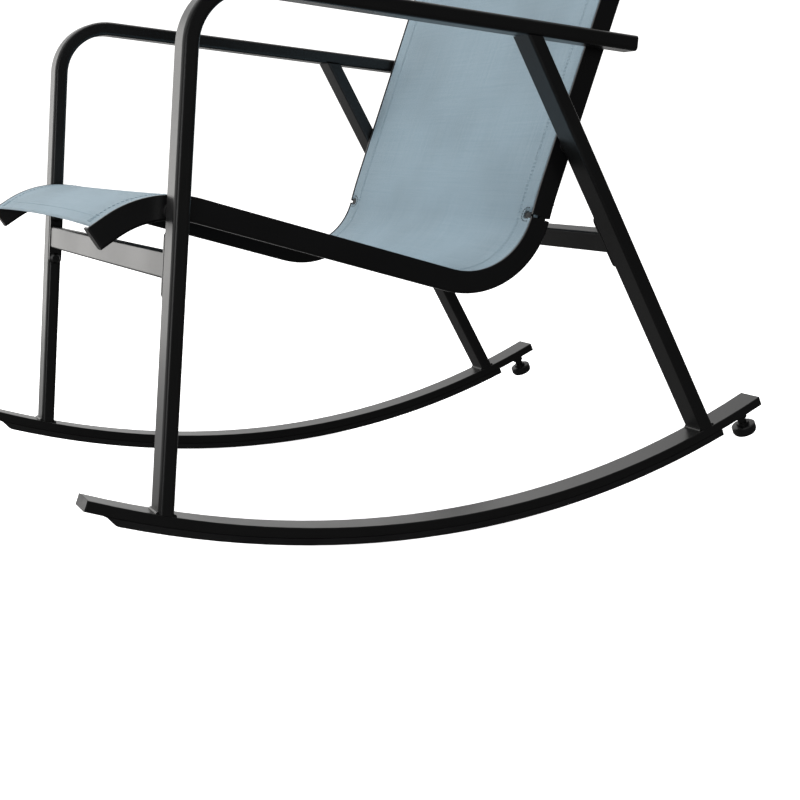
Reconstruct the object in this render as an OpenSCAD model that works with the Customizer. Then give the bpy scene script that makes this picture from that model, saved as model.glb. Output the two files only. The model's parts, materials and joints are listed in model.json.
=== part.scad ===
// Camp rocking chair: a steel frame on two curved rockers with one stretched fabric sling.
// X runs across the chair and +X is the sitter's left, +Y runs to the back, +Z is up.
// The origin is on the floor, in the middle of the chair's overall width and depth.

/* [Rockers] */
// Overall width across the two rockers
chair_w = 530; // [480:1:600]
// Width of the rocker tubes
tube_w = 32; // [30:1:36]
// Radius of the rolling face of the rockers
roll_r = 1068; // [1000:1:1200]
// Thickness of the rocker tube
rocker_t = 11; // [10:0.5:13]
// Outside corner radius of the rocker tube
rocker_r = 1; // [0.6:0.2:2.4]
// Thickness of the glide strip under the rocker tube
strip_t = 7; // [5:0.5:9]
// Arc of the rocker ahead of the point where it stands
rocker_front = 20.1; // [19:0.1:22]
// Arc of the rocker behind the point where it stands
rocker_rear = 24.4; // [24:0.1:26]

/* [Legs and arms] */
// Width of the front leg and arm tubes
leg_w = 28; // [26:1:30]
// Width of the rear leg tubes
rear_w = 32; // [30:1:34]
// Depth of the leg and arm tubes
leg_t = 16; // [15:0.5:18]
// Outside corner radius of the front leg and arm tubes
leg_r = 4; // [3:0.5:4.5]
// Wall of the bent tubes: rockers, legs and arms
bent_wall = 2; // [1.5:0.1:2.2]
// Wall of the crossbar and rail tubes
wall = 1.5; // [1.2:0.1:2]
// Outside corner radius of the other tubes
corner_r = 2.5; // [2:0.1:3]
// Lean of the front legs to the rear
front_lean = 4.93; // [4:0.01:6]
// Lean of the rear legs to the front
rear_lean = 29.58; // [28:0.01:31]
// Height of the middle of the arm tube at its front
arm_z = 552; // [530:1:570]
// Bend radius at the front of the arm
arm_bend_r = 60; // [50:1:80]

/* [Crossbars] */
// Depth of the crossbar tubes
bar_t = 13; // [12:1:15]
// Height of the crossbar tubes
bar_h = 26; // [24:1:28]
// Distance of each crossbar bolt from the middle of the bar
bolt_offset = 26; // [24:1:28]
// Thickness of the end plates
plate_t = 3; // [2:0.5:4]

/* [Sling rails] */
// Height of the sling rails with their lip
rail_h = 24; // [22:1:26]
// Width of the sling rail tubes
rail_w = 14; // [12:1:16]
// Fall of the seat to the rear
seat_fall = 15.8; // [12:0.1:18]
// Straight length of the seat
seat_len = 283; // [270:1:300]
// Radius of the bend under the sitter's knees
knee_r = 103; // [95:1:110]
// Radius of the bend between seat and back
hip_r = 90; // [80:1:95]
// Straight length of the back
back_len = 505; // [450:5:540]

/* [Sling] */
// Thickness of the fabric
fabric_t = 1; // [0.8:0.1:1.2]
// Diameter of the rods in the fabric's side pockets
rod_d = 5; // [4:0.5:5]

/* [Stop feet] */
// Diameter of the knob
knob_d = 28; // [28:1:32]
// Diameter of the threaded stud
stud_d = 10; // [8:1:10]

/* [Hidden] */
$fn = 120;
side_x = (chair_w - tube_w) / 2;          // middle of a rocker
leg_x = (chair_w - leg_w) / 2;            // middle of the front legs and the arms
inner_x = chair_w / 2 - leg_w;            // inner face of the front legs and the arms
rear_inner_x = chair_w / 2 - rear_w;      // inner face of the rear legs
rear_x = (chair_w - rear_w) / 2;
rear_r = 3;                               // outside corner radius of the rear legs
top_r = roll_r - strip_t - rocker_t;      // upper face of the rocker
seat_r = roll_r - strip_t;                // lower face of the rocker tube
flat_half = 16;                           // half the flat where the chair stands
flat_rise = roll_r * (1 - cos(asin(flat_half / roll_r)));
glide_screw_angles = [-16, -6, 4, 14];
glide_screw_r = 2.1;
glide_head_r = 4;
glide_head_t = 2.4;
glide_sink = 3.5;                         // depth of the screw heads' recess
cap_t = 1.5;                              // plates of the end caps
plug_len = 10;
plug_gap = 0.5;

// Legs, as lines in the side plane: a foot point and a direction
front_foot = [-292.9, 0];
rear_foot = [406.4, 0];
front_dir = 90 - front_lean;
rear_dir = 90 + rear_lean;
front_foot_z = 20;                        // the leg tubes start inside the rocker
rear_foot_z = 40;
front_bar_z = 291.7;
rear_bar_z = 300;
front_cross_z = 342;
plate_w = leg_t - 1;
arm_tail = 24;                            // the arm runs on past the back rail's bolt
bead_r = 2.6;
bead_margin = 2;

// Sling rails, through the middle of their height
knee_c = [-264, 242.4];
lip_len = 18.5;
lumbar_r = 480;
gap = 2.8;                                // open seam between seat rail and back rail
spacer_t = 2;                             // at the rear legs, which stand further in
rail_x = rear_inner_x - spacer_t - rail_w / 2;
spacer_r = 8;
slot_w = 3.2;
slot_out = 2.6;                           // the slot is this far outside the rail's middle
lip_w = 2.8;                              // raised edge outside the slot, which hides the fabric's turn
lip_h = 1.6;
lip_edge = 0.7;
body_top = rail_h / 2 - lip_h;
rod_out = 1.5;
bolt_v = -3;                              // bolts pass the rail below its middle
sheet_v = body_top + 0.3;                 // underside of the fabric
pocket_r = rod_d / 2 + 1.1;
rod_v = body_top - wall - 0.3 - pocket_r;
notch_r = 3.5;
notch_depth = 13;
sling_margin = 3;                         // the fabric and its rods end inside the rails
rod_margin = 5;
rail_cap_t = 2;
rail_plug_len = 12;
rail_plug_v = -4.5;
rail_plug_h = 11;
spreader_half = rail_x - rail_w / 2 - plate_t;
spreader_drop = 55;                       // from the top of the back down to the spreader

// The joiner is a curved bar in both rails, screwed from behind
joiner_v = -2.6;
joiner_h = 7.4;
joiner_gap = 0.3;
joiner_screw_r = 2;
joiner_head_r = 3.8;
joiner_head_t = 2.2;
joiner_screw_len = 13;

// Screw joints
bolt_r = 3;
hole_r = 3.3;
nut_r = 4.4;
nut_len = 14;
nut_bulge = 1;                            // the nuts swell behind the wall
nut_bulge_len = 3.5;
spreader_nut_len = 7;
bolt_past = 12;                           // bolts reach this far past the wall they screw into
spreader_bolt_past = 6;
head_t = 4.5;
head_r = 6.8;
head_top_r = 4.4;
hex_r = 2.3;
hex_depth = 1.8;

// Stop feet, on a line that points away from the rocker's centre
stop_angle = 23.3;
bush_len = 8;
bush_r = 7;
hub_t = 3;
knob_top = 17;                            // below the rocker tube
knob_t = 8;
pad_r = 13;
pad_t = 3.5;
pad_gap = 0.3;
knob_edge = 1.2;
pad_edge = 1.5;
hub_wall = 2.5;
tip_r = 3;
tip_len = 2.6;
stud_reach = 2;                           // above the tube's lower face
thread_gap = 0.05;

// ---- Directions and points in the side plane, as [y, z] ----
function along(a) = [cos(a), sin(a)];
function above(a) = [-sin(a), cos(a)];
function cross2(p, q) = p[0] * q[1] - p[1] * q[0];
function meet(p, a, q, b) = p + along(a) * cross2(q - p, along(b)) / cross2(along(a), along(b));
function at_height(p, a, z) = p + along(a) * (z - p[1]) / sin(a);
function on_circle(r, a) = [0, roll_r] - r * above(a);

// Bends turn by steps whose sine and cosine are short decimals, so that each run's pieces meet exactly
turn_step = 2 * atan(1 / 2);
knee_turn = 270 - 6 * turn_step;
hip_turn = 90;
lumbar_turn = 5 * turn_step - 270;
front_slope = -seat_fall - knee_turn;
seam_slope = hip_turn - seat_fall;
back_slope = seam_slope + lumbar_turn;
over = 3;                                 // bends are made this much longer at each end, then cut
room = 2400;                              // larger than the chair

knee_start = knee_c + knee_r * above(front_slope);
rail_front = knee_start - lip_len * along(front_slope);
hip_start = knee_c + knee_r * above(-seat_fall) + seat_len * along(-seat_fall);
hip_c = hip_start + hip_r * above(-seat_fall);
seam = hip_c - hip_r * above(seam_slope);
lumbar_c = seam - lumbar_r * above(seam_slope);
back_start = lumbar_c + lumbar_r * above(back_slope);
back_top = back_start + back_len * along(back_slope);

// The arm leaves the front leg by a square bend, so it falls to the rear as the leg leans
arm_fall = front_lean;
arm_corner = at_height(front_foot, front_dir, arm_z);
arm_bend = arm_corner - arm_bend_r * along(front_dir);
arm_bend_c = arm_bend - arm_bend_r * above(front_dir);
arm_start = arm_bend_c + arm_bend_r * above(-arm_fall);

// Where bolts pass from rail to frame
back_line = back_start + bolt_v * above(back_slope);
front_cross = at_height(front_foot, front_dir, front_cross_z);
rear_cross = meet(rear_foot, rear_dir, back_line, back_slope);
arm_cross = meet(arm_start, -arm_fall, back_line, back_slope);
arm_len = norm(arm_cross - arm_start) + arm_tail;
spreader_at = back_line + (back_len - spreader_drop) * along(back_slope);
front_bar_at = at_height(front_foot, front_dir, front_bar_z);
rear_bar_at = at_height(rear_foot, rear_dir, rear_bar_z);

// The joiner's screws, at the middle of each half of the joiner
joiner_turn = 2 * turn_step - 90;
hip_screw_slope = seam_slope - joiner_turn / 2;
lumbar_screw_slope = seam_slope + lumbar_turn / 2;
hip_screw = hip_c - (hip_r + rail_h / 2) * above(hip_screw_slope);
lumbar_screw = lumbar_c + (lumbar_r - rail_h / 2) * above(lumbar_screw_slope);

// Middle of the overall depth
depth_front = -seat_r * sin(rocker_front) - cap_t * cos(rocker_front);
knob_low_r = seat_r + knob_top + knob_t;
depth_rear = knob_low_r * sin(stop_angle) + (knob_d / 2) * cos(stop_angle);
mid_y = (depth_front + depth_rear) / 2;

// ---- Sections, as [across, up from the rail's middle] ----
module rounded(w, h, r) {
    square([w - 2 * r, h], center = true);
    square([w, h - 2 * r], center = true);
    for (x = [-1, 1], y = [-1, 1])
        translate([x * (w / 2 - r), y * (h / 2 - r)])
            circle(r);
}

module tube(w, h, r, t = wall) {
    difference() {
        rounded(w, h, r);
        rounded(w - 2 * t, h - 2 * t, max(r - t, 0.5));
    }
}

module rail_section(side) {
    difference() {
        union() {
            translate([0, -lip_h / 2])
                tube(rail_w, rail_h - lip_h, corner_r);
            translate([side * (rail_w - lip_w) / 2, rail_h / 2])
                rail_lip();
        }
        translate([side * slot_out - slot_w / 2, body_top - 2 * wall])
            square([slot_w, lip_h + 3 * wall]);
    }
}

module rail_lip() {
    translate([-lip_w / 2, -lip_h - corner_r])
        square([lip_w, lip_h + corner_r - lip_edge]);
    translate([0, -lip_h / 2])
        rounded(lip_w, lip_h, lip_edge);
}

module sling_section() {
    half = rail_x + slot_out + fabric_t;
    translate([-half, sheet_v])
        square([2 * half, fabric_t]);
    for (side = [-1, 1])
        translate([side * rail_x, 0])
            pocket(side);
}

module pocket(side) {
    neck = rod_v + rod_d / 2 + 0.25;
    translate([side * slot_out - fabric_t, neck])
        square([2 * fabric_t, sheet_v - neck + fabric_t / 2]);
    translate([side * rod_out, rod_v])
        difference() {
            circle(pocket_r);
            circle(rod_d / 2 + 0.1);
        }
}

// ---- Sweeps in the side plane ----
module at(p, a) {
    translate([0, p[0], p[1]])
        rotate([a, 0, 0])
            children();
}

// A section carried along steps: a length, or a bend as [radius, turn], which rises for a positive turn
module run(steps, i = 0) {
    if (i < len(steps)) {
        if (is_num(steps[i])) {
            translate([0, steps[i], 0])
                rotate([90, 0, 0])
                    linear_extrude(steps[i])
                        children();
            translate([0, steps[i], 0])
                run(steps, i + 1)
                    children();
        }
        else {
            bend(steps[i][0], steps[i][1])
                children();
            after_bend(steps[i][0], steps[i][1])
                run(steps, i + 1)
                    children();
        }
    }
}

module after_bend(r, turn) {
    translate([0, 0, sign(turn) * r])
        rotate([turn, 0, 0])
            translate([0, 0, -sign(turn) * r])
                children();
}

// The ring's ends are cut square by the planes that the next steps start from
module bend(r, turn) {
    first = turn > 0 ? -90 - over : 90 + turn - over;
    intersection() {
        translate([0, 0, sign(turn) * r])
            rotate([90, 0, 90])
                rotate_extrude(angle = abs(turn) + 2 * over, start = first)
                    translate([r, 0])
                        mirror(turn > 0 ? [0, 0] : [1, -1])
                            rotate(turn > 0 ? 90 : 0)
                                children();
        half_space(1);
        after_bend(r, turn)
            half_space(-1);
    }
}

module half_space(side) {
    translate([-room / 2, side > 0 ? 0 : -room, -room / 2])
        cube(room);
}

// A solid that runs across the chair at a point and slope of the side plane
module across(p, tilt, x, len) {
    translate([x, p[0], p[1]])
        rotate([tilt, 0, 0])
            rotate([90, 0, 90])
                linear_extrude(len)
                    children();
}

// A round bar across the chair, from x outwards on one side
module pin(p, side, x, len, r) {
    translate([side * x, p[0], p[1]])
        rotate([0, side * 90, 0])
            cylinder(r = r, h = len);
}

module placed() {
    translate([0, -mid_y, -flat_rise])
        children();
}

// ---- Rockers ----
module rocker(side) {
    color("#1b1b1c")
    placed()
    difference() {
        translate([side * side_x, 0, 0])
            at(on_circle(top_r + rocker_t / 2, -rocker_front), -rocker_front)
                bend(top_r + rocker_t / 2, rocker_front + rocker_rear)
                    tube(tube_w, rocker_t, rocker_r, bent_wall);
        on_stop(side, -bent_wall - 1)
            cylinder(r = stud_d / 2 + 0.6, h = bent_wall + 2);
    }
}

// The stop feet's line; depth counts away from the rocker's centre, from the tube's lower face
module on_stop(side, depth) {
    p = on_circle(seat_r + depth, stop_angle);
    translate([side * side_x, p[0], p[1]])
        rotate([180 + stop_angle, 0, 0])
            children();
}

function ramp_r(s) = seat_r + strip_t * (1 - cos(180 * s)) / 2;
function ramp(a, b) = [for (i = [0:12]) on_circle(ramp_r(i / 12), a + (b - a) * i / 12)];

module glide_strip(side) {
    ramp_end = -rocker_front + 1.9;
    ramp_start = -rocker_front + 0.95;
    strip_rear = rocker_rear - 3.3;
    color("#151516")
    placed()
    difference() {
        union() {
            translate([side * side_x, 0, 0])
                at(on_circle(roll_r - strip_t / 2, ramp_end), ramp_end)
                    bend(roll_r - strip_t / 2, strip_rear - ramp_end)
                        square([tube_w, strip_t], center = true);
            translate([side * side_x, 0, 0])
                across([0, 0], 0, -tube_w / 2, tube_w)
                    polygon(concat(ramp(ramp_start, ramp_end), [on_circle(seat_r, ramp_end)]));
        }
        translate([side * side_x - tube_w, -2 * flat_half, -strip_t])
            cube([2 * tube_w, 4 * flat_half, strip_t + flat_rise]);
        for (a = glide_screw_angles)
            glide_screw_hole(side, a);
    }
}

module glide_screw_hole(side, a) {
    p = on_circle(seat_r, a);
    translate([side * side_x, p[0], p[1]])
        rotate([180 + a, 0, 0]) {
            translate([0, 0, -1])
                cylinder(r = glide_screw_r + 0.1, h = strip_t + 2);
            translate([0, 0, strip_t - glide_sink])
                cylinder(r = glide_head_r + 0.2, h = 2 * glide_sink);
        }
}

module glide_screws() {
    color("#77787a")
    placed()
    for (side = [-1, 1], a = glide_screw_angles) {
        p = on_circle(seat_r, a);
        translate([side * side_x, p[0], p[1]])
            rotate([180 + a, 0, 0]) {
                cylinder(r = glide_screw_r, h = strip_t - glide_sink);
                translate([0, 0, strip_t - glide_sink])
                    cylinder(r = glide_head_r, h = glide_head_t);
            }
    }
}

module rocker_end_caps() {
    color("#232324")
    placed()
    for (side = [-1, 1], end = [[-rocker_front, 180], [rocker_rear, 0]])
        translate([side * side_x, 0, 0])
            end_cap(on_circle(top_r + rocker_t / 2, end[0]), end[0] + end[1], tube_w, rocker_t, rocker_r);
}

// A plate on a tube's end with a plug inside it; the slope points out of the tube
module end_cap(p, a, w, h, r) {
    less = bent_wall + plug_gap;
    at(p, a) {
        run([cap_t])
            rounded(w, h, r);
        translate([0, -plug_len, 0])
            run([plug_len])
                rounded(w - 2 * less, h - 2 * less, max(r - bent_wall, plug_gap));
    }
}

// ---- Legs and arms ----
module nut_hole(p, side, inner) {
    pin(p, side, inner - 1, bent_wall + 2, nut_r + 0.1);
}

module inside_rocker() {
    translate([-chair_w, 0, roll_r])
        rotate([0, 90, 0])
            cylinder(r = top_r, h = 2 * chair_w, $fn = 360);
}

module front_leg_arm(side) {
    foot = at_height(front_foot, front_dir, front_foot_z);
    color("#1b1b1c")
    placed()
    difference() {
        translate([side * leg_x, 0, 0])
            intersection() {
                at(foot, front_dir)
                    run([norm(arm_bend - foot), [arm_bend_r, -90], arm_len])
                        tube(leg_w, leg_t, leg_r, bent_wall);
                inside_rocker();
            }
        for (s = [-1, 1])
            nut_hole(front_bar_at + s * bolt_offset * along(front_dir), side, inner_x);
        nut_hole(front_cross, side, inner_x);
        nut_hole(arm_cross, side, inner_x);
    }
}

module rear_leg(side) {
    foot = at_height(rear_foot, rear_dir, rear_foot_z);
    arm_under = arm_start - leg_t / 2 * above(-arm_fall);
    head = meet(rear_foot, rear_dir, arm_under, -arm_fall);
    color("#1b1b1c")
    placed()
    difference() {
        translate([side * rear_x, 0, 0])
            intersection() {
                at(foot, rear_dir)
                    run([norm(head - foot) + 2 * leg_t])
                        tube(rear_w, leg_t, rear_r, bent_wall);
                inside_rocker();
            }
        translate([side * rear_x - rear_w, arm_under[0], arm_under[1]])
            rotate([-arm_fall, 0, 0])
                cube([2 * rear_w, arm_len, 4 * leg_t]);
        for (s = [-1, 1])
            nut_hole(rear_bar_at + s * bolt_offset * along(rear_dir), side, rear_inner_x);
        nut_hole(rear_cross, side, rear_inner_x);
    }
}

module arm_end_caps() {
    color("#232324")
    placed()
    for (side = [-1, 1])
        translate([side * leg_x, 0, 0])
            end_cap(arm_start + arm_len * along(-arm_fall), -arm_fall, leg_w, leg_t, leg_r);
}

// Where a line in the side plane meets the rocker's upper face
function rocker_hit(p, a) =
    let (d = p - [0, roll_r], b = d * along(a))
    p + along(a) * (-b - sqrt(b * b - d * d + top_r * top_r));

// Fillets of weld across the front and the rear of each leg's foot
module weld_beads() {
    block = 4 * leg_t;
    feet = [[front_foot, front_dir, leg_w], [rear_foot, rear_dir, rear_w]];
    color("#242424")
    placed()
    for (side = [-1, 1], f = feet, face = [-1, 1]) {
        p = rocker_hit(f[0] + face * leg_t / 2 * above(f[1]), f[1]);
        translate([side * (chair_w - f[2]) / 2, 0, 0])
            difference() {
                at(p, 0)
                    rotate([0, 90, 0])
                        cylinder(r = bead_r, h = f[2] - 2 * bead_margin, center = true);
                at(p, f[1])
                    translate([-block / 2, -block / 2, face > 0 ? -block : 0])
                        cube(block);
                at(p, asin(p[0] / top_r))
                    translate([-block / 2, -block / 2, -block])
                        cube(block);
            }
    }
}

// ---- Crossbars ----
module crossbar(at, tilt, inner) {
    half = inner - plate_t;
    color("#1f1f20")
    placed()
    across(at, tilt, -half, 2 * half)
        tube(bar_t, bar_h, corner_r);
}

module front_crossbar() {
    crossbar(front_bar_at, -front_lean, inner_x);
}

module rear_crossbar() {
    crossbar(rear_bar_at, rear_lean, rear_inner_x);
}

module plate_shape(w, half) {
    difference() {
        union() {
            square([w, 2 * half], center = true);
            for (s = [-1, 1])
                translate([0, s * half])
                    circle(w / 2);
        }
        for (s = [-1, 1])
            translate([0, s * half])
                circle(hole_r);
    }
}

module bar_plates(at, tilt, inner) {
    color("#1f1f20")
    placed()
    for (x = [-inner, inner - plate_t])
        across(at, tilt, x, plate_t)
            plate_shape(plate_w, bolt_offset);
}

module front_bar_plates() {
    bar_plates(front_bar_at, -front_lean, inner_x);
}

module rear_bar_plates() {
    bar_plates(rear_bar_at, rear_lean, rear_inner_x);
}

// A button-head bolt that points outwards on one side, its head ending at x
module bolt(p, side, x, reach) {
    translate([side * x, p[0], p[1]])
        rotate([0, side * 90, 0]) {
            cylinder(r = bolt_r, h = reach);
            translate([0, 0, -head_t])
                difference() {
                    cylinder(r1 = head_top_r, r2 = head_r, h = head_t);
                    translate([0, 0, -1])
                        cylinder(r = hex_r, h = hex_depth + 1, $fn = 6);
                }
        }
}

// A blind rivet nut in a wall of thickness t at x
module rivet_nut(p, side, x, len, t) {
    difference() {
        union() {
            pin(p, side, x, len, nut_r);
            translate([side * (x + t + 0.1), p[0], p[1]])
                rotate([0, side * 90, 0])
                    cylinder(r1 = nut_r - 0.2, r2 = nut_r + nut_bulge, h = nut_bulge_len);
        }
        pin(p, side, x - 1, len + 2, bolt_r + 0.05);
    }
}

// Bolted points of the frame, each with the inner face it is drawn against
function bar_bolts() = [for (s = [-1, 1]) each [
    [front_bar_at + s * bolt_offset * along(front_dir), inner_x],
    [rear_bar_at + s * bolt_offset * along(rear_dir), rear_inner_x]]];
function rail_points() = [[front_cross, inner_x], [rear_cross, rear_inner_x], [arm_cross, inner_x]];

module crossbar_bolts() {
    color("#101011")
    placed()
    for (side = [-1, 1], b = bar_bolts())
        bolt(b[0], side, b[1] - plate_t, plate_t + bolt_past);
}

module crossbar_nuts() {
    color("#8a8b8d")
    placed()
    for (side = [-1, 1], b = bar_bolts())
        rivet_nut(b[0], side, b[1], nut_len, bent_wall);
}

// ---- Sling rails ----
module seat_rail(side) {
    color("#141415")
    placed()
    difference() {
        translate([side * rail_x, 0, 0])
            at(rail_front, front_slope)
                run([lip_len, [knee_r, knee_turn], seat_len, [hip_r, hip_turn]])
                    rail_section(side);
        open_seam(side);
        pin(front_cross, side, rail_x - rail_w, 2 * rail_w, hole_r);
        joiner_screw_hole(side, hip_screw, hip_screw_slope);
    }
}

module open_seam(side) {
    translate([side * rail_x, 0, 0])
        at(seam, seam_slope)
            cube([2 * rail_w, gap, 2 * rail_h], center = true);
}

module back_rail(side) {
    color("#141415")
    placed()
    difference() {
        translate([side * rail_x, 0, 0])
            at(seam, seam_slope)
                run([[lumbar_r, lumbar_turn], back_len])
                    rail_section(side);
        open_seam(side);
        for (p = [rear_cross, arm_cross])
            pin(p, side, rail_x - rail_w, 2 * rail_w, hole_r);
        joiner_screw_hole(side, lumbar_screw, lumbar_screw_slope);
        for (s = [-1, 1])
            pin(spreader_bolt(s), side, rail_x - rail_w / 2 - 1, wall + 2, nut_r + 0.1);
    }
}

module joiner_section() {
    translate([0, joiner_v])
        square([rail_w - 2 * (wall + joiner_gap), joiner_h], center = true);
}

module rail_joiner(side) {
    color("#2c2c2e")
    placed()
    difference() {
        translate([side * rail_x, 0, 0])
            at(hip_c - hip_r * above(seam_slope - joiner_turn), seam_slope - joiner_turn)
                run([[hip_r, joiner_turn], [lumbar_r, lumbar_turn]])
                    joiner_section();
        joiner_screw_hole(side, hip_screw, hip_screw_slope);
        joiner_screw_hole(side, lumbar_screw, lumbar_screw_slope);
    }
}

module joiner_screw_hole(side, p, a) {
    translate([side * rail_x, p[0], p[1]])
        rotate([a, 0, 0])
            translate([0, 0, -1])
                cylinder(r = joiner_screw_r + 0.15, h = joiner_screw_len + 2);
}

module joiner_screws() {
    color("#101011")
    placed()
    for (side = [-1, 1], s = [[hip_screw, hip_screw_slope], [lumbar_screw, lumbar_screw_slope]])
        translate([side * rail_x, s[0][0], s[0][1]])
            rotate([s[1], 0, 0]) {
                cylinder(r = joiner_screw_r, h = joiner_screw_len);
                translate([0, 0, -joiner_head_t])
                    cylinder(r1 = joiner_screw_r + 0.4, r2 = joiner_head_r, h = joiner_head_t - 0.3);
                translate([0, 0, -0.3])
                    cylinder(r = joiner_head_r, h = 0.3);
            }
}

// A rail's end cap: a plate and a plug that stays below the rod pocket
module rail_cap(p, a, out) {
    at(p, a) {
        translate([0, out > 0 ? 0 : -rail_cap_t, 0])
            run([rail_cap_t])
                rounded(rail_w, rail_h, corner_r);
        translate([0, out > 0 ? -rail_plug_len : 0, 0])
            run([rail_plug_len])
                translate([0, rail_plug_v])
                    square([rail_w - 2 * (wall + joiner_gap), rail_plug_h], center = true);
    }
}

module rail_front_caps() {
    color("#1d1d1f")
    placed()
    for (side = [-1, 1])
        translate([side * rail_x, 0, 0])
            rail_cap(rail_front, front_slope, -1);
}

module rail_top_caps() {
    color("#1d1d1f")
    placed()
    for (side = [-1, 1])
        translate([side * rail_x, 0, 0])
            rail_cap(back_top, back_slope, 1);
}

module rail_bolts() {
    color("#101011")
    placed()
    for (side = [-1, 1], b = rail_points())
        bolt(b[0], side, rail_x - rail_w / 2, b[1] + bolt_past - rail_x + rail_w / 2);
}

module rail_spacers() {
    from = rail_x + rail_w / 2;
    color("#2a2a2c")
    placed()
    for (side = [-1, 1], b = rail_points())
        difference() {
            pin(b[0], side, from, b[1] - from, spacer_r);
            pin(b[0], side, from - 1, b[1] - from + 2, hole_r);
        }
}

module rail_nuts() {
    color("#8a8b8d")
    placed()
    for (side = [-1, 1], b = rail_points())
        rivet_nut(b[0], side, b[1], nut_len, bent_wall);
}

// ---- Spreader across the top of the back ----
function spreader_bolt(s) = spreader_at + s * bolt_offset * along(back_slope);

module top_spreader() {
    color("#1f1f20")
    placed()
    across(spreader_at, back_slope - 90, -spreader_half, 2 * spreader_half)
        tube(bar_t, bar_h, corner_r);
}

module spreader_plates() {
    color("#1f1f20")
    placed()
    for (x = [-spreader_half - plate_t, spreader_half])
        across(spreader_at, back_slope - 90, x, plate_t)
            plate_shape(plate_w, bolt_offset);
}

module spreader_bolts() {
    color("#101011")
    placed()
    for (side = [-1, 1], s = [-1, 1])
        bolt(spreader_bolt(s), side, spreader_half, plate_t + spreader_bolt_past);
}

module spreader_nuts() {
    color("#8a8b8d")
    placed()
    for (side = [-1, 1], s = [-1, 1])
        rivet_nut(spreader_bolt(s), side, rail_x - rail_w / 2, spreader_nut_len, wall);
}

// ---- Sling and its rods ----
// The whole run of the fabric, held back from the rails' ends by a margin
module sling_run(margin) {
    steps = [lip_len - margin, [knee_r, knee_turn], seat_len, [hip_r, hip_turn],
        [lumbar_r, lumbar_turn], back_len - 3 * margin];
    at(rail_front + margin * along(front_slope), front_slope)
        run(steps)
            children();
}

module sling() {
    color("#9fb3bf")
    placed()
    difference() {
        sling_run(sling_margin)
            sling_section();
        for (side = [-1, 1])
            translate([side * rail_x, seam[0], seam[1]])
                rotate([seam_slope, 0, 0])
                    seam_notch(side);
    }
}

// The cut-out in the fabric's edge at the seam between the rails
module seam_notch(side) {
    translate([-side * (notch_depth - notch_r), 0, -1])
        cylinder(r = notch_r, h = 20);
    translate([side > 0 ? notch_r - notch_depth : -10, -notch_r, -1])
        cube([notch_depth - notch_r + 10, 2 * notch_r, 20]);
}

module sling_rod(side) {
    color("#161616")
    placed()
    sling_run(rod_margin)
        translate([side * (rail_x + rod_out), rod_v])
            circle(rod_d / 2);
}

// ---- Stop feet ----
module stop_bushes() {
    color("#1b1b1c")
    placed()
    for (side = [-1, 1])
        on_stop(side, 0)
            difference() {
                cylinder(r = bush_r, h = bush_len);
                translate([0, 0, -1])
                    cylinder(r = stud_d / 2 + thread_gap, h = bush_len + 2);
            }
}

module stop_stud(side) {
    color("#9a9b9d")
    placed()
    on_stop(side, -stud_reach) {
        cylinder(r = stud_d / 2, h = stud_reach + knob_top + knob_t);
        cylinder(r = tip_r, h = stud_reach + knob_top + knob_t + pad_gap + tip_len);
    }
}

// A disc with a hub above it and a soft edge
module stop_knob(side) {
    color("#17171a")
    placed()
    on_stop(side, knob_top)
        difference() {
            union() {
                cylinder(r1 = knob_d / 2 - knob_edge, r2 = knob_d / 2, h = knob_edge);
                translate([0, 0, knob_edge])
                    cylinder(r = knob_d / 2, h = knob_t - knob_edge);
                translate([0, 0, -hub_t])
                    cylinder(r = stud_d / 2 + hub_wall, h = hub_t + 1);
            }
            translate([0, 0, -hub_t - 1])
                cylinder(r = stud_d / 2, h = hub_t + knob_t + 2);
        }
}

// The pad stays still while the knob turns; the stud's tip sits in its socket
module stop_pad(side) {
    color("#0f0f10")
    placed()
    on_stop(side, knob_top + knob_t + pad_gap)
        difference() {
            union() {
                cylinder(r = pad_r, h = pad_t - pad_edge);
                translate([0, 0, pad_t - pad_edge])
                    cylinder(r1 = pad_r, r2 = pad_r - pad_edge, h = pad_edge);
            }
            translate([0, 0, -1])
                cylinder(r = tip_r + thread_gap, h = tip_len + 1.1);
        }
}

rocker(1);  // rocker_left
rocker(-1);  // rocker_right
glide_strip(1);  // glide_strip_left
glide_strip(-1);  // glide_strip_right
glide_screws();
rocker_end_caps();
front_leg_arm(1);  // front_leg_arm_left
front_leg_arm(-1);  // front_leg_arm_right
rear_leg(1);  // rear_leg_left
rear_leg(-1);  // rear_leg_right
arm_end_caps();
weld_beads();
front_crossbar();
rear_crossbar();
front_bar_plates();
rear_bar_plates();
crossbar_bolts();
crossbar_nuts();
seat_rail(1);  // seat_rail_left
seat_rail(-1);  // seat_rail_right
back_rail(1);  // back_rail_left
back_rail(-1);  // back_rail_right
rail_joiner(1);  // rail_joiner_left
rail_joiner(-1);  // rail_joiner_right
joiner_screws();
rail_front_caps();
rail_top_caps();
rail_bolts();
rail_spacers();
rail_nuts();
top_spreader();
spreader_plates();
spreader_bolts();
spreader_nuts();
sling();
sling_rod(1);  // sling_rod_left
sling_rod(-1);  // sling_rod_right
stop_bushes();
stop_stud(1);  // stop_stud_left
stop_stud(-1);  // stop_stud_right
stop_knob(1);  // stop_knob_left
stop_knob(-1);  // stop_knob_right
stop_pad(1);  // stop_pad_left
stop_pad(-1);  // stop_pad_right
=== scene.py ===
"""Looks of the camp rocking chair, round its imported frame. Metres; +X the sitter's left, +Y rear, +Z up."""
import json
import math

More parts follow.
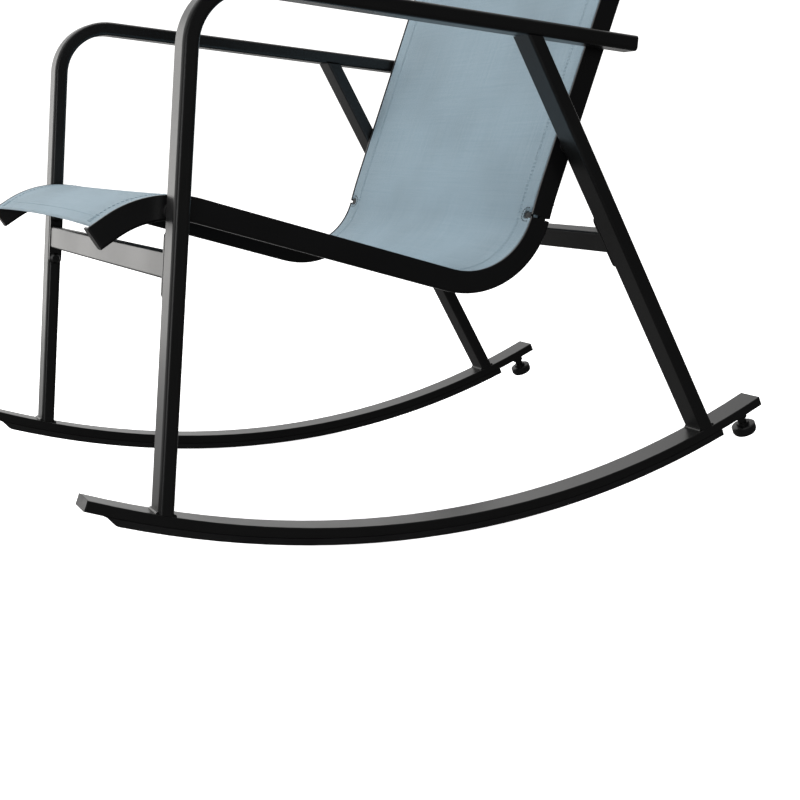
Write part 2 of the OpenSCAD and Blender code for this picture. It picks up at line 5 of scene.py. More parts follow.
import bpy
import numpy as np
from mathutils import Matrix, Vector


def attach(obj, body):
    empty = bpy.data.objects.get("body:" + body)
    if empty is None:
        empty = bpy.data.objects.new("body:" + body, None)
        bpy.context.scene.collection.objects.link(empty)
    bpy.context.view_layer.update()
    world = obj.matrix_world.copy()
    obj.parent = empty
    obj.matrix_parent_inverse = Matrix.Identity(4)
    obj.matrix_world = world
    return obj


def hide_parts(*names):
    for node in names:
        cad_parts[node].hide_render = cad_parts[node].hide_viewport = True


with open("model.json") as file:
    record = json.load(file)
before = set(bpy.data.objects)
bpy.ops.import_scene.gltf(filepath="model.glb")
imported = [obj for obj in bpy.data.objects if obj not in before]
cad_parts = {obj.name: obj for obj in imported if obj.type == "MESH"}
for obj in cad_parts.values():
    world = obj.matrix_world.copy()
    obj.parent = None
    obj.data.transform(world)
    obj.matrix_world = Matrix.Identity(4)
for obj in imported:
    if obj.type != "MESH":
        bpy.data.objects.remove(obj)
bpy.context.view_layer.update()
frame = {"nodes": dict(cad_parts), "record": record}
NODES = frame["nodes"]
BODY = "chair"

# The sling rails' middle line in the side plane, repeated from the part's source
MID_Y, FLAT_RISE = 0.0381945, 0.00012
FRONT_END = (-0.33560, 0.31870)
STEPS = [("line", 0.0185), ("bend", 0.103, -48.7806), ("line", 0.283), ("bend", 0.090, 90.0),
         ("bend", 0.480, -4.3494), ("line", 0.505)]
FRONT_SLOPE = 32.9806
SEAM_AFTER = 4                 # the seam between the rails comes after this many steps
RAIL_X = 0.2266                # the slot in each rail
RAIL_INNER = 0.2170            # the rail's inner face
ROD_X, ROD_V = 0.2255, 0.0050

# The cloth
CLOTH_T = 0.0006
TOP_V = 0.0114                 # middle of the upper ply above the rails' middle line
UNDER_V = 0.01075              # middle of the pocket's returning ply
SLOT_HALF = 0.00045            # from the slot's middle to each ply in it
SLEEVE_R = 0.0029              # middle of the cloth round the rod
END_MARGIN = 0.003             # from each end of the rails to the cloth's end
NOTCH_R, NOTCH_DEEP = 0.0034, 0.0125
NOTCH_END = RAIL_X - NOTCH_DEEP
SEAM_REACH = 0.031             # rows this close to the seam are drawn apart by the notch
NEAR_SEAM = (0.009, 0.0115, 0.0145, 0.018, 0.022, 0.026)
WEAVE_PITCH = 0.0011
HEM_PLY = 0.018                # how far each hem returns under the cloth
HEM_ROW = 0.0135               # from the cloth's end to the hem's stitches
POCKET_ROWS = (0.0212, 0.0242)  # from the slot to the pocket's two rows of stitches
STITCH, STITCH_GAP = 0.0042, 0.0009
STITCH_RINGS = ((0.0, -0.9, 0.35), (0.15, 0.15, 0.85), (0.5, 0.55, 1.0),
                (0.85, 0.15, 0.85), (1.0, -0.9, 0.35))  # along it, its lift and its size in thread radii


# ---- The path along the sling ----
def turned(y, z, degrees):
    a = math.radians(degrees)
    return y * math.cos(a) - z * math.sin(a), y * math.sin(a) + z * math.cos(a)


def step_length(step):
    return step[1] if step[0] == "line" else step[1] * math.radians(abs(step[2]))


def path_length():
    return sum(step_length(step) for step in STEPS)


def seam_at():
    return sum(step_length(step) for step in STEPS[:SEAM_AFTER])


def path_point(s, v):
    """(y, z) at length s along the rails' middle line and v above it, and the slope there."""
    y, z = FRONT_END
    slope = FRONT_SLOPE
    left = s
    for i, step in enumerate(STEPS):
        length = step_length(step)
        last = i == len(STEPS) - 1
        part = left if (left <= length or last) else length
        if step[0] == "line":
            dy, dz = turned(part, 0.0, slope)
            turn = 0.0
        else:
            side = 1.0 if step[2] > 0 else -1.0
            turn = side * math.degrees(part / step[1])
            cy, cz = turned(0.0, side * step[1], slope)
            ey, ez = turned(0.0, -side * step[1], slope + turn)
            dy, dz = cy + ey, cz + ez
        y, z, slope = y + dy, z + dz, slope + turn
        left -= part
        if left <= 1e-12:
            break
    oy, oz = turned(0.0, v, slope)
    return y + oy - MID_Y, z + oz - FLAT_RISE, slope


def smooth(t):
    t = min(1.0, max(0.0, t))
    return t * t * (3 - 2 * t)


# ---- Meshes ----
def new_piece(name, verts, faces, material, uv=None, shade=True):
    mesh = bpy.data.meshes.new(name)
    mesh.from_pydata([tuple(v) for v in verts], [], [tuple(f) for f in faces])
    mesh.validate()
    if uv is not None:
        layer = mesh.uv_layers.new(name="Cloth")
        for loop in mesh.loops:
            layer.data[loop.index].uv = uv[loop.vertex_index]
    mesh.update()
    if shade:
        mesh.polygons.foreach_set("use_smooth", [True] * len(mesh.polygons))
    obj = bpy.data.objects.new(name, mesh)
    bpy.context.scene.collection.objects.link(obj)
    mesh.materials.append(material)
    return obj


def baked(obj):
    """Replaces a piece's mesh by its mesh with the modifiers applied."""
    dg = bpy.context.evaluated_depsgraph_get()
    mesh = bpy.data.meshes.new_from_object(obj.evaluated_get(dg), depsgraph=dg)
    obj.modifiers.clear()
    obj.data = mesh
    return obj


def thicken(obj, thickness):
    m = obj.modifiers.new("Thickness", "SOLIDIFY")
    m.thickness = thickness
    m.offset = 0.0
    m.use_even_offset = True
    return baked(obj)


# ---- Node materials ----
class Shader:
    """A small helper that adds nodes and joins them."""

    def __init__(self, name):
        self.material = bpy.data.materials.new(name)
        self.material.use_nodes = True
        self.tree = self.material.node_tree
        self.tree.nodes.clear()
        out = self.tree.nodes.new("ShaderNodeOutputMaterial")
        self.bsdf = self.tree.nodes.new("ShaderNodeBsdfPrincipled")
        self.join(self.bsdf.outputs["BSDF"], out.inputs["Surface"])

    def join(self, a, b):
        self.tree.links.new(a, b)

    def add(self, kind, values=None, **settings):
        node = self.tree.nodes.new(kind)
        for key, value in settings.items():
            setattr(node, key, value)
        for key, value in (values or {}).items():
            if isinstance(value, bpy.types.NodeSocket):
                self.join(value, node.inputs[key])
            else:
                node.inputs[key].default_value = value
        return node

    def coords(self, uv=None):
        if uv:
            return self.add("ShaderNodeUVMap", uv_map=uv).outputs["UV"]
        return self.add("ShaderNodeTexCoord").outputs["Object"]

    def stretched(self, coords, scale):
        return self.add("ShaderNodeMapping", {"Vector": coords, "Scale": scale}).outputs["Vector"]

    def noise(self, coords, scale, detail=3.0, rough=0.55):
        values = {"Vector": coords, "Scale": scale, "Detail": detail, "Roughness": rough}
        return self.add("ShaderNodeTexNoise", values).outputs["Fac"]

    def math(self, operation, a, b=None):
        node = self.add("ShaderNodeMath", operation=operation)
        for i, value in enumerate((a, b)):
            if isinstance(value, bpy.types.NodeSocket):
                self.join(value, node.inputs[i])
            elif value is not None:
                node.inputs[i].default_value = value
        return node.outputs[0]

    def span(self, value, low, high, to_low, to_high):
        values = {"Value": value, "From Min": low, "From Max": high, "To Min": to_low, "To Max": to_high}
        return self.add("ShaderNodeMapRange", values).outputs["Result"]

    def ramp(self, fac, stops):
        node = self.add("ShaderNodeValToRGB", {"Fac": fac})
        ramp = node.color_ramp
        while len(ramp.elements) < len(stops):
            ramp.elements.new(0.5)
        for element, (place, colour) in zip(ramp.elements, stops):
            element.position = place
            element.color = (*colour, 1.0)
        return node.outputs["Color"]

    def mix(self, fac, a, b, blend="MIX"):
        node = self.add("ShaderNodeMix", data_type="RGBA", blend_type=blend)
        for socket, value in ((node.inputs[0], fac), (node.inputs[6], a), (node.inputs[7], b)):
            if isinstance(value, bpy.types.NodeSocket):
                self.join(value, socket)
            elif isinstance(value, tuple):
                socket.default_value = (*value, 1.0)
            else:
                socket.default_value = value
        return node.outputs[2]

    def bump(self, height, distance, strength=1.0):
        values = {"Height": height, "Distance": distance, "Strength": strength}
        self.join(self.add("ShaderNodeBump", values).outputs["Normal"], self.bsdf.inputs["Normal"])

    def colour(self, socket):
        self.join(socket, self.bsdf.inputs["Base Color"])

    def rough(self, socket):
        self.join(socket, self.bsdf.inputs["Roughness"])

    def fixed(self, **values):
        for key, value in values.items():
            self.bsdf.inputs[key.replace("_", " ")].default_value = value


def powder_coat(name, dark, light, rough_low, rough_high):
    """Satin powder coat: fine orange peel, cloudy gloss and a few paler rubbed spots."""
    s = Shader(name)
    p = s.coords()
    cloud = s.noise(p, 9.0, 4.0)
    peel = s.noise(p, 900.0, 2.0)
    grain = s.noise(p, 2600.0, 1.0)
    s.colour(s.ramp(cloud, [(0.3, dark), (0.75, light)]))
    s.rough(s.span(s.math("ADD", s.math("MULTIPLY", cloud, 0.6), s.math("MULTIPLY", grain, 0.4)),
                   0.3, 0.7, rough_low, rough_high))
    s.bump(s.math("ADD", s.math("MULTIPLY", peel, 0.7), s.math("MULTIPLY", grain, 0.3)), 0.00006, 0.5)
    s.fixed(IOR=1.5, Specular_IOR_Level=0.5)
    return s.material


def moulded(name, dark, light, rough_low, rough_high, grain_scale, depth):
    """Moulded plastic or rubber with a fine spark-eroded grain."""
    s = Shader(name)
    p = s.coords()
    grain = s.noise(p, grain_scale, 2.0)
    cloud = s.noise(p, 35.0, 3.0)
    s.colour(s.mix(s.span(grain, 0.3, 0.7, 0.0, 1.0), dark, light))
    s.rough(s.span(cloud, 0.3, 0.7, rough_low, rough_high))
    s.bump(grain, depth, 0.7)
    s.fixed(IOR=1.48)
    return s.material


def worn_strip(name):
    """The glide strips: extruded plastic with long scuffs along the chair's travel."""
    s = Shader(name)
    p = s.coords()
    scuff = s.noise(s.stretched(p, (420.0, 14.0, 14.0)), 1.0, 4.0, 0.65)
    grain = s.noise(p, 1500.0, 2.0)
    s.colour(s.ramp(scuff, [(0.35, (0.009, 0.009, 0.010)), (0.62, (0.014, 0.014, 0.015)),
                            (0.8, (0.035, 0.035, 0.036))]))
    s.rough(s.span(scuff, 0.3, 0.75, 0.42, 0.62))
    s.bump(s.math("ADD", s.math("MULTIPLY", scuff, 0.8), s.math("MULTIPLY", grain, 0.2)), 0.00012, 0.5)
    return s.material


def zinc(name):
    """Bright zinc plate with a faint crystalline cloud and turning marks."""
    s = Shader(name)
    p = s.coords()
    cells = s.add("ShaderNodeTexVoronoi", {"Vector": p, "Scale": 700.0}).outputs["Distance"]
    cloud = s.noise(p, 120.0, 3.0)
    s.colour(s.ramp(cloud, [(0.3, (0.33, 0.34, 0.35)), (0.7, (0.56, 0.56, 0.55))]))
    s.rough(s.span(s.math("ADD", cells, s.math("MULTIPLY", cloud, 0.5)), 0.1, 0.9, 0.24, 0.44))
    s.bump(cells, 0.00004, 0.4)
    s.fixed(Metallic=0.9)
    return s.material


def woven_cloth(name, warp, weft):
    """Coated yarn in a plain weave, in UVs that are metres of flat cloth, with soft handling shadows."""
    s = Shader(name)
    flat = s.coords("Cloth")
    apart = s.add("ShaderNodeSeparateXYZ", {"Vector": flat})
    half_turns = math.pi / WEAVE_PITCH
    half_x = s.math("SINE", s.math("MULTIPLY", apart.outputs["X"], half_turns))
    half_y = s.math("SINE", s.math("MULTIPLY", apart.outputs["Y"], half_turns))
    warp_round = s.math("ABSOLUTE", half_x)
    weft_round = s.math("ABSOLUTE", half_y)
    on_top = s.math("GREATER_THAN", s.math("MULTIPLY", half_x, half_y), 0.0)    # a checker of the two yarns
    yarns = {"Factor": on_top, "A": weft_round, "B": warp_round}
    yarn = s.add("ShaderNodeMix", yarns, data_type="FLOAT").outputs[0]
    pore = s.math("MULTIPLY", warp_round, weft_round)
    streak_x = s.noise(s.stretched(flat, (520.0, 9.0, 1.0)), 1.0, 2.0, 0.5)
    streak_y = s.noise(s.stretched(flat, (9.0, 520.0, 1.0)), 1.0, 2.0, 0.5)
    streak = s.math("ADD", streak_x, streak_y)
    base = s.mix(s.span(streak, 0.72, 1.28, 0.0, 1.0), warp, weft)
    dusk = s.span(s.noise(flat, 7.5, 2.0, 0.45), 0.42, 0.68, 1.0, 0.86)
    # painted shade on the pocket's ply behind each notch
    dusk = s.math("MULTIPLY", dusk, notch_painted_shade(s, apart))
    shade = s.math("MULTIPLY", dusk, s.span(pore, 0.0, 0.35, 0.62, 1.0))
    grey = s.add("ShaderNodeCombineColor", {"Red": shade, "Green": shade, "Blue": shade}).outputs["Color"]
    s.colour(s.mix(1.0, base, grey, "MULTIPLY"))
    s.rough(s.span(s.math("ADD", yarn, streak_x), 0.4, 1.5, 0.74, 0.56))
    s.bump(s.math("ADD", yarn, s.math("MULTIPLY", streak, 0.15)), 0.00022, 0.55)
    s.fixed(IOR=1.45, Sheen_Weight=0.08, Sheen_Roughness=0.45)
    return s.material


def notch_painted_shade(s, apart):
    """A factor of painted shade: it darkens the pocket's ply behind each notch, where the pocket lies in
    shadow, and is 1 elsewhere.
    """
    folded = s.math("GREATER_THAN", s.math("ABSOLUTE", apart.outputs["X"]), RAIL_X + 0.02)
    from_seam = s.math("ABSOLUTE", s.math("SUBTRACT", apart.outputs["Y"], seam_at()))
    close = s.math("LESS_THAN", from_seam, 0.005)
    return s.span(s.math("MULTIPLY", folded, close), 0.0, 1.0, 1.0, 0.03)


def thread(name, colour_a, colour_b):
    """Twisted sewing thread."""
    s = Shader(name)
    p = s.coords()
    ply = s.noise(p, 2400.0, 2.0)
    s.colour(s.mix(s.span(ply, 0.3, 0.7, 0.0, 1.0), colour_a, colour_b))
    s.rough(s.span(ply, 0.2, 0.8, 0.5, 0.75))
    s.bump(ply, 0.00006, 0.6)
    return s.material


def frame_materials():
    """A finish for every CAD node, by the kind of part."""
    coat = powder_coat("Frame_coat", (0.0085, 0.0085, 0.0088), (0.0125, 0.0125, 0.0128), 0.27, 0.37)
    rail = powder_coat("Rail_coat", (0.0065, 0.0065, 0.0072), (0.0098, 0.0098, 0.0108), 0.26, 0.35)
    bolt = powder_coat("Bolt_coat", (0.0070, 0.0070, 0.0072), (0.0120, 0.0120, 0.0122), 0.32, 0.45)
    weld = powder_coat("Weld_coat", (0.0100, 0.0100, 0.0100), (0.0180, 0.0180, 0.0180), 0.24, 0.36)
    cap = moulded("Cap_plastic", (0.012, 0.012, 0.013), (0.022, 0.022, 0.023), 0.38, 0.5, 1400.0, 0.00008)
    knob = moulded("Knob_plastic", (0.009, 0.009, 0.010), (0.016, 0.016, 0.017), 0.36, 0.48, 1600.0, 0.00006)
    pad = moulded("Pad_rubber", (0.008, 0.008, 0.008), (0.013, 0.013, 0.013), 0.6, 0.78, 900.0, 0.00012)
    insert = moulded("Insert_plastic", (0.012, 0.012, 0.013), (0.020, 0.020, 0.021), 0.45, 0.6, 1100.0,
                     0.00008)
    rod = moulded("Rod_plastic", (0.012, 0.012, 0.012), (0.020, 0.020, 0.020), 0.45, 0.6, 800.0, 0.00005)
    return {"frame_coat": coat, "rail_coat": rail, "black_bolt": bolt, "cap_plastic": cap,
            "knob_plastic": knob, "pad_rubber": pad, "dark_insert": insert, "pocket_rod": rod,
            "glide_plastic": worn_strip("Glide_plastic"), "zinc_steel": zinc("Zinc_steel"), "weld": weld}


def finish_nodes():
    """Gives each CAD node its slot's finish; the weld beads and the feet's studs have their own."""
    made = frame_materials()
    slots = {row["node"]: row["material_slot"] for row in frame["record"]["subparts"]}
    for name, node in NODES.items():
        slot = slots[name]
        if name == "weld_beads":
            slot = "weld"
        elif name.startswith("stop_stud"):
            slot = "black_bolt"
        if slot not in made:
            continue
        node.data.materials.clear()
        node.data.materials.append(made[slot])


# ---- The sling ----
def arc(cx, cv, r, start, end, n):
    """n + 1 points of an arc about (cx, cv), from start to end degrees."""
    return [(cx + r * math.cos(math.radians(start + (end - start) * i / n)),
             cv + r * math.sin(math.radians(start + (end - start) * i / n))) for i in range(n + 1)]


def edge_profile():
    """The cloth's edge as [x, v]: over the rail and down its slot, then round the rod and back out."""
    down, up = RAIL_X + SLOT_HALF, RAIL_X - SLOT_HALF
    bend, small_bend = 0.0011, 0.0008
    over = arc(down - bend, TOP_V - bend, bend, 90, 0, 5) + [(down, 0.0096), (down, 0.0088)]
    sleeve = arc(ROD_X, ROD_V, SLEEVE_R, 62, -242, 20) + [(up - 0.0002, 0.0084), (up, 0.0091)]
    sleeve += arc(up - small_bend, UNDER_V - small_bend, small_bend, 0, 90, 4)
    return over, sleeve


def across_profile():
    """The whole cloth from one pocket's seam to the other's, and half the notch's opening at each point."""
    over, sleeve = edge_profile()
    under = [RAIL_INNER + d for d in (0.0045, 0.0, -0.005, -0.010, -0.0155)]
    right_half = [(x, TOP_V) for x in spaced_out(over[0][0])]
    side = right_half + over + sleeve + [(x, UNDER_V) for x in under]
    opening = [notch_half(x) for x, _ in right_half] + [NOTCH_R] * len(over)
    opening += [0.0] * (len(sleeve) + len(under))
    mirrored = [(-x, v) for x, v in reversed(side)]
    return mirrored[:-1] + side, opening[:0:-1] + opening


def spaced_out(end):
    """Columns from the middle out: even in the middle, closer by the notch and the rail."""
    coarse = list(np.linspace(0.0, NOTCH_END - 0.004, 36))
    round_end = [NOTCH_END + NOTCH_R * (1 - math.cos(math.radians(a))) for a in range(0, 91, 18)]
    rest = list(np.linspace(NOTCH_END + NOTCH_R + 0.0018, end - 0.0015, 6))
    return [float(x) for x in coarse + [NOTCH_END - 0.002] + round_end + rest]


def notch_half(x):
    """Half the notch's opening along the chair at x."""
    depth = abs(x) - NOTCH_END
    if depth <= 1e-9:
        return 0.0
    if depth >= NOTCH_R:
        return NOTCH_R
    return math.sqrt(max(0.0, NOTCH_R ** 2 - (NOTCH_R - depth) ** 2))


def hump(s, middle, spread):
    return math.exp(-((s - middle) / spread) ** 2)


def sag(x, s):
    """How far the cloth lies below its rails' plane: it hangs at seat and back, and is taut at the hip."""
    share = max(0.0, 1 - (x / (RAIL_X - 0.008)) ** 2)
    seat, back = 0.0042 * hump(s, 0.26, 0.13), 0.0055 * hump(s, 0.78, 0.2)
    hip = 0.0035 * hump(s, seam_at() - 0.06, 0.05)
    ends = smooth(s / 0.06) * smooth((path_length() - s) / 0.06)
    return share * (seat + back - hip) * ends


def end_draw(x, s):
    """The cloth's free ends curve in towards the middle of the sling."""
    reach = 0.09
    share = max(0.0, 1 - (x / (RAIL_X - 0.004)) ** 2)
    near_front = 1 - smooth((s - END_MARGIN) / reach)
    near_top = 1 - smooth((path_length() - END_MARGIN - s) / reach)
    return share * (0.0045 * near_front - 0.005 * near_top)


def cloth_point(x, v, s):
    """A point of the cloth. The plies above the rails sag; the sleeve in the slot stays with its rod."""
    loose = v > UNDER_V - 0.0003
    drop = sag(x, s) if loose else 0.0
    y, z, _ = path_point(s + (end_draw(x, s) if loose else 0.0), v - drop)
    return x, y, z


def rows_along():
    """Lengths along the path for the cloth's rows before and after the seam, closer beside it."""
    seam, total = seam_at(), path_length()
    first = list(np.arange(END_MARGIN, seam - 0.03, 0.0042))
    near = [seam - d for d in reversed(NEAR_SEAM)]
    after = [seam + d for d in NEAR_SEAM]
    last = list(np.linspace(seam + SEAM_REACH, total - END_MARGIN, 108))
    return [float(v) for v in first + near], [float(v) for v in after + last]


def cloth_grid():
    """Vertices, faces, UVs, width and length of the cloth's middle surface, opened round each notch."""
    profile, opening = across_profile()
    lengths = np.concatenate([[0], np.cumsum(np.hypot(*np.diff(np.array(profile), axis=0).T))])
    flat_u = lengths - lengths[-1] / 2
    before, after = rows_along()
    seam = seam_at()
    verts, uvs, rows = [], [], []

    def add_row(s, side):
        row = []
        for (x, v), u, half in zip(profile, flat_u, opening):
            shift = side * half * max(0.0, 1 - abs(s - seam) / SEAM_REACH)
            verts.append(cloth_point(x, v, s + shift))
            uvs.append((float(u), s + shift))
            row.append(len(verts) - 1)
        rows.append(row)

    for s in before:
        add_row(s, -1 if s > seam - SEAM_REACH else 0)
    add_row(seam, -1)
    lower = rows[-1]
    add_row(seam, 1)
    upper = rows[-1]
    for i, half in enumerate(opening):
        if half == 0.0:
            upper[i] = lower[i]
    for s in after:
        add_row(s, 1 if s < seam + SEAM_REACH else 0)
    faces = []
    for a, b in zip(rows[:-1], rows[1:]):
        if a is lower and b is upper:
            continue
        for i in range(len(profile) - 1):
            faces.append((a[i], a[i + 1], b[i + 1], b[i]))
    used = sorted({i for f in faces for i in f})
    renumber = {old: new for new, old in enumerate(used)}
    return ([verts[i] for i in used], [tuple(renumber[i] for i in f) for f in faces], [uvs[i] for i in used],
            float(lengths[-1]), after[-1] - before[0])


def make_sling(material):
    """The one woven panel with its side pockets, and its flat width and length."""
    verts, faces, uvs, width, length = cloth_grid()
    cloth = new_piece("sling_fabric", verts, faces, material, uvs)
    thicken(cloth, CLOTH_T)
    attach(cloth, BODY)
    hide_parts("sling")
    return cloth, width, length


def hem_profile(ply):
    """A folded edge as [along, v], along pointing into the sling: a round nose and a ply under the cloth."""
    high, low = TOP_V + CLOTH_T / 2, UNDER_V - CLOTH_T / 2
    mid, r = (high + low) / 2, (high - low) / 2
    inset = 0.0004
    nose = [(-r * math.sin(math.radians(a)), mid + r * math.cos(math.radians(a))) for a in range(0, 181, 20)]
    return nose + [(ply, low), (ply, low + CLOTH_T), (inset, low + CLOTH_T), (inset, high)]


def make_hem(name, at_front, material):
    """The folded end of the cloth, sewn down under it between the pockets."""
    start = END_MARGIN if at_front else path_length() - END_MARGIN
    way = 1.0 if at_front else -1.0
    reach, inner = RAIL_X - 0.0028, RAIL_X - 0.0275
    step, nose_ply = 0.001, 0.0008
    xs = [-reach, -inner - step] + list(np.linspace(-inner, inner, 61)) + [inner + step, reach]
    verts, uvs, rings = [], [], []
    for x in xs:
        ply = HEM_PLY if abs(x) <= inner + 1e-9 else nose_ply
        ring = []
        for along, v in hem_profile(ply):
            s = start + way * along
            y, z, _ = path_point(s + end_draw(x, start), v - sag(x, s))
            verts.append((x, y, z))
            uvs.append((x, s))
            ring.append(len(verts) - 1)
        rings.append(ring)
    faces = []
    for a, b in zip(rings[:-1], rings[1:]):
        for i in range(len(a)):
            j = (i + 1) % len(a)
            face = (a[i], b[i], b[j], a[j])
            faces.append(face if at_front else face[::-1])
    faces.append(tuple(rings[0]) if at_front else tuple(reversed(rings[0])))
    faces.append(tuple(reversed(rings[-1])) if at_front else tuple(rings[-1]))
    return new_piece(name, verts, faces, material, uvs, shade=False)


# ---- Stitching ----
def stitch_mesh(stitches, name, material, radius=0.00034, sides=6):
    """Each stitch is a short bowed thread from one hole to the next, pulled in at both ends."""
    verts, faces = [], []
    for a, b, normal in stitches:
        a, b, normal = Vector(a), Vector(b), Vector(normal).normalized()
        along = (b - a).normalized()
        side = along.cross(normal).normalized()
        rings = []
        for t, lift, size in STITCH_RINGS:
            centre = a.lerp(b, t) + normal * radius * lift
            ring = []
            for k in range(sides):
                w = 2 * math.pi * k / sides
                verts.append(centre + (side * math.cos(w) * 1.15 + normal * math.sin(w)) * radius * size)
                ring.append(len(verts) - 1)
            rings.append(ring)
        for p, q in zip(rings[:-1], rings[1:]):
            for k in range(sides):
                m = (k + 1) % sides
                faces.append((p[k], p[m], q[m], q[k]))
        faces.append(tuple(reversed(rings[0])))
        faces.append(tuple(rings[-1]))
    return new_piece(name, verts, faces, material)


def surface_at(x, s):
    """A point on the cloth's upper face and its normal, at x across and s along."""
    step = 0.001
    here = Vector(cloth_point(x, TOP_V, s))
    across = Vector(cloth_point(x + step, TOP_V, s)) - here
    along = Vector(cloth_point(x, TOP_V, s + step)) - here
    normal = across.cross(along).normalized()
    return here + normal * CLOTH_T / 2, normal


def row_of(points, step=STITCH, gap=STITCH_GAP):
    """Stitches along a line of (x, s) points on the cloth."""
    flat = np.array(points, float)
    run = np.concatenate([[0], np.cumsum(np.hypot(*np.diff(flat, axis=0).T))])
    made = []
    d = 0.0
    while d + step - gap <= run[-1]:
        ends = []
        for q in (d, d + step - gap):
            x, s = np.interp(q, run, flat[:, 0]), np.interp(q, run, flat[:, 1])
            ends.append(surface_at(float(x), float(s)))
        made.append((ends[0][0], ends[1][0], ends[0][1] + ends[1][1]))
        d += step
    return made


def pocket_rows():
    """Two rows along each pocket's seam, broken by the notch."""
    made = []
    seam, total = seam_at(), path_length()
    end, beside, spacing = 0.004, 0.001, 0.004
    for side in (-1, 1):
        for inset in POCKET_ROWS:
            x = side * (RAIL_X - inset)
            for low, high in ((END_MARGIN + end, seam - beside), (seam + beside, total - END_MARGIN - end)):
                made += row_of([(x, s) for s in np.arange(low, high, spacing)] + [(x, high)])
    return made


def hem_rows():
    """One row across each hem, from rail to rail."""
    made = []
    reach = RAIL_X - 0.006
    for s in (END_MARGIN + HEM_ROW, path_length() - END_MARGIN - HEM_ROW):
        made += row_of([(x, s) for x in np.linspace(-reach, reach, 90)])
    return made


def notch_rows():
    """Close stitches round each notch's cut edge and a wider row outside them."""
    made = []
    seam = seam_at()
    middle, outer = NOTCH_END + NOTCH_R, RAIL_X - 0.003
    for beyond, step, gap in ((0.0006, 0.0016, 0.0003), (0.0044, 0.003, 0.0007)):
        edge = NOTCH_R + beyond
        for side in (-1, 1):
            line = [(side * outer, seam - edge)]
            for a in range(0, 181, 9):
                turn = math.radians(a)
                line.append((side * (middle - edge * math.sin(turn)), seam - edge * math.cos(turn)))
            line.append((side * outer, seam + edge))
            made += row_of(line, step, gap)
    return made


def corner_tacks():
    """Back-tacked stitches that hold the hems at the pockets."""
    made = []
    total = path_length()
    end, long, apart = 0.004, 0.0125, 0.0035
    for side in (-1, 1):
        for s, way in ((END_MARGIN + end, 1), (total - END_MARGIN - end, -1)):
            for k in range(4):
                x = side * (RAIL_X - 0.0165 - apart * k)
                made += row_of([(x, s), (x, s + way * long)], 0.0031, 0.0005)
    return made


# ---- Stage ----
def make_floor():
    """A plain white sheet that glows evenly and lights nothing."""
    verts, faces = [], []
    n, half = 24, 9.0
    for i in range(n + 1):
        for j in range(n + 1):
            verts.append((-half + 2 * half * i / n, -half + 2 * half * j / n, 0.0))
    for i in range(n):
        for j in range(n):
            a = i * (n + 1) + j
            faces.append((a, a + n + 1, a + n + 2, a + 1))
    s = Shader("Floor_white")
    p = s.coords()
    s.colour(s.ramp(s.noise(p, 3.0, 2.0), [(0.2, (0.83, 0.83, 0.83)), (0.8, (0.86, 0.86, 0.86))]))
    s.rough(s.span(s.noise(p, 40.0, 2.0), 0.2, 0.8, 0.85, 0.95))
    s.fixed(Emission_Color=(1.0, 1.0, 1.0, 1.0), Emission_Strength=1.0)
    floor = new_piece("floor", verts, faces, s.material)
    floor.visible_glossy = False
    floor.visible_diffuse = False


def make_world():
    """A white sweep behind the chair and overhead, a dark room on the sitter's left and a dim floor."""
    world = bpy.data.worlds.new("Studio")
    bpy.context.scene.world = world
    world.use_nodes = True
    tree = world.node_tree
    tree.nodes.clear()

    def node(kind, **settings):
        made = tree.nodes.new(kind)
        for key, value in settings.items():
            setattr(made, key, value)
        return made

    def toward(direction, low, high, to_low, to_high):
        dot = node("ShaderNodeVectorMath", operation="DOT_PRODUCT")
        tree.links.new(place.outputs["Generated"], dot.inputs[0])
        dot.inputs[1].default_value = Vector(direction).normalized()
        span = node("ShaderNodeMapRange", interpolation_type="SMOOTHSTEP")
        tree.links.new(dot.outputs["Value"], span.inputs["Value"])
        for key, value in (("From Min", low), ("From Max", high), ("To Min", to_low), ("To Max", to_high)):
            span.inputs[key].default_value = value
        return span.outputs["Result"]

    def math_node(operation, a, b):
        made = node("ShaderNodeMath", operation=operation)
        for socket, value in zip(made.inputs, (a, b)):
            if isinstance(value, bpy.types.NodeSocket):
                tree.links.new(value, socket)
            else:
                socket.default_value = value
        return made.outputs[0]

    place = node("ShaderNodeTexCoord")
    sweep = toward((-0.8, -0.35, 0.5), -0.25, 0.4, 0.05, 1.0)
    above_floor = toward((0.0, 0.0, 1.0), -0.36, -0.02, 0.15, 1.0)
    level = math_node("MAXIMUM", math_node("MULTIPLY", sweep, above_floor), 0.07)
    seen = node("ShaderNodeLightPath")
    shown = math_node("MAXIMUM", level, math_node("MULTIPLY", seen.outputs["Is Camera Ray"], 1.3))
    back, out = node("ShaderNodeBackground"), node("ShaderNodeOutputWorld")
    tree.links.new(shown, back.inputs["Strength"])
    tree.links.new(back.outputs[0], out.inputs["Surface"])
    back.inputs["Color"].default_value = (1.0, 0.995, 0.985, 1.0)


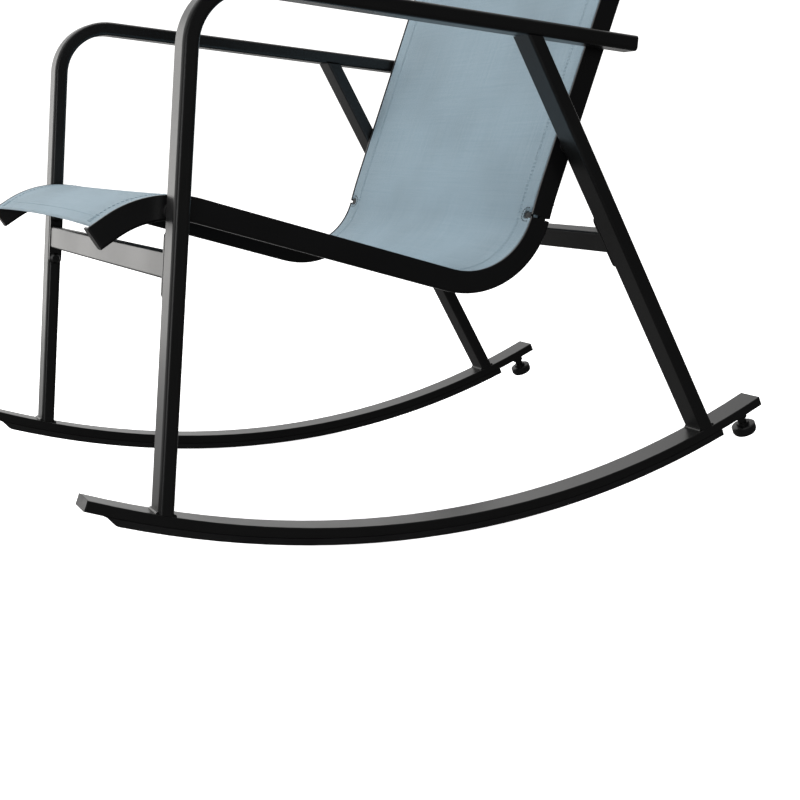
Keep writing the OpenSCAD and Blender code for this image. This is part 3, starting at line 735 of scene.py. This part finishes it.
def area_light(name, place, aim, size, power, colour=(1.0, 1.0, 1.0)):
    data = bpy.data.lights.new(name, "AREA")
    data.shape = "RECTANGLE"
    data.size, data.size_y = size
    data.energy = power
    data.color = colour
    light = bpy.data.objects.new(name, data)
    bpy.context.scene.collection.objects.link(light)
    light.location = place
    light.rotation_mode = "QUATERNION"
    light.rotation_quaternion = (Vector(aim) - Vector(place)).to_track_quat("-Z", "Y")


def make_lights():
    """An overhead softbox, an upright panel ahead on the sitter's right and another on their left."""
    area_light("top_softbox", (-0.7, -0.5, 2.6), (0.0, 0.05, 0.4), (2.4, 2.0), 24.0)
    area_light("front_panel", (-1.45, -1.1, 0.6), (0.0, -0.32, 0.6), (1.1, 1.1), 5.0, (1.0, 0.98, 0.95))
    area_light("edge_panel", (2.27, -1.2, 0.32), (0.26, -0.33, 0.28), (1.1, 1.1), 8.7)


def make_camera():
    azimuth, elevation = math.radians(62.939), math.radians(10.572)
    back = Vector((math.sin(azimuth) * math.cos(elevation), -math.cos(azimuth) * math.cos(elevation),
                   math.sin(elevation)))
    data = bpy.data.cameras.new("Camera")
    data.lens = 59.75
    data.sensor_width = 36.0
    data.clip_start, data.clip_end = 0.05, 60.0
    camera = bpy.data.objects.new("Camera", data)
    bpy.context.scene.collection.objects.link(camera)
    camera.location = (1.4445, -0.6816, 0.3961)
    camera.rotation_mode = "QUATERNION"
    camera.rotation_quaternion = (-back).to_track_quat("-Z", "Y")
    bpy.context.scene.camera = camera


def view_colours():
    bpy.context.scene.view_settings.view_transform = "Standard"
    bpy.context.scene.view_settings.look = "None"


def main():
    make_camera()
    make_world()
    make_lights()
    make_floor()
    view_colours()
    finish_nodes()
    cloth_material = woven_cloth("Sling_weave", (0.283, 0.396, 0.472), (0.328, 0.442, 0.516))
    thread_material = thread("Sewing_thread", (0.30, 0.41, 0.48), (0.36, 0.47, 0.54))
    dark_thread = thread("Dark_thread", (0.012, 0.013, 0.014), (0.024, 0.026, 0.028))
    cloth, width, length = make_sling(cloth_material)
    pieces = [make_hem("sling_front_hem", True, cloth_material),
              make_hem("sling_top_hem", False, cloth_material),
              stitch_mesh(pocket_rows(), "sling_pocket_stitches", thread_material),
              stitch_mesh(hem_rows() + corner_tacks(), "sling_hem_stitches", thread_material),
              stitch_mesh(notch_rows(), "sling_notch_stitches", dark_thread, radius=0.00045)]
    for piece in pieces:
        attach(piece, BODY)


main()
